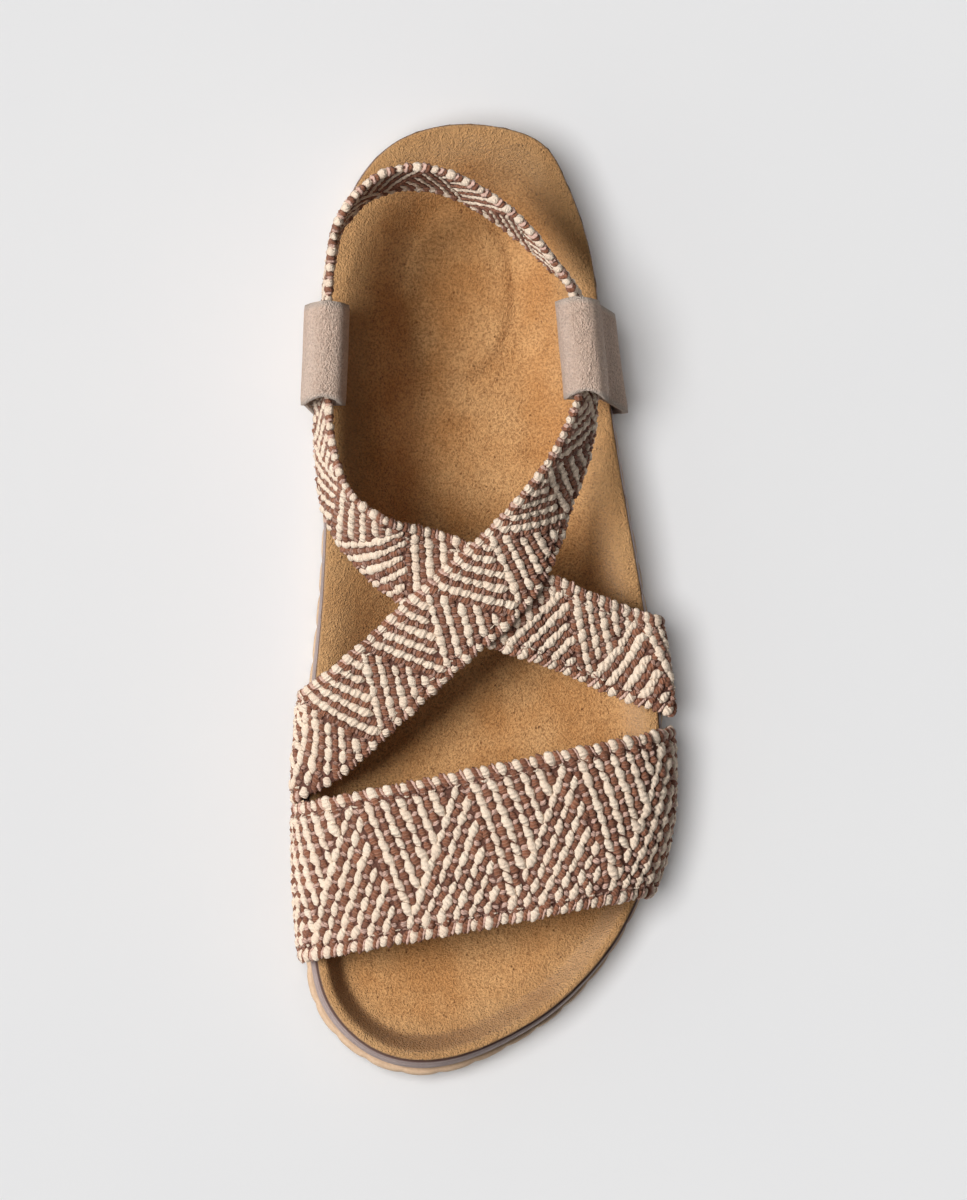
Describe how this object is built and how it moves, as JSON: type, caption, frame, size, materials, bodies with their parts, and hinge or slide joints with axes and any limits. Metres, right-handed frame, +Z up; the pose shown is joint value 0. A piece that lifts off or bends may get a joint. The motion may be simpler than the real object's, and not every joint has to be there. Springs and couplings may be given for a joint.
{
  "type": "slingback sandal",
  "caption": "Flat slingback sandal for the left foot: moulded footbed with raised rim, wide toe strap, tape crossing the instep and running round the heel through two side loops.",
  "frame": {"origin": "on the floor under the middle of the heel seat, on the flat underside of the heel", "axes": "+Z up; +Y from toe to heel along the sole; +X towards the outer side of the foot"},
  "size_m": [0.1026, 0.2524, 0.0716],
  "materials": {
    "outsole": "matt",
    "midsole": "satin",
    "footbed": "suede",
    "strap": "woven",
    "loop": "suede"
  },
  "bodies": {
    "root": {"outsole": "outsole", "midsole": "midsole", "insole": "footbed", "front_strap": "strap", "cross_strap": "strap", "loop_medial": "loop", "loop_lateral": "loop"}
  },
  "joints": []
}
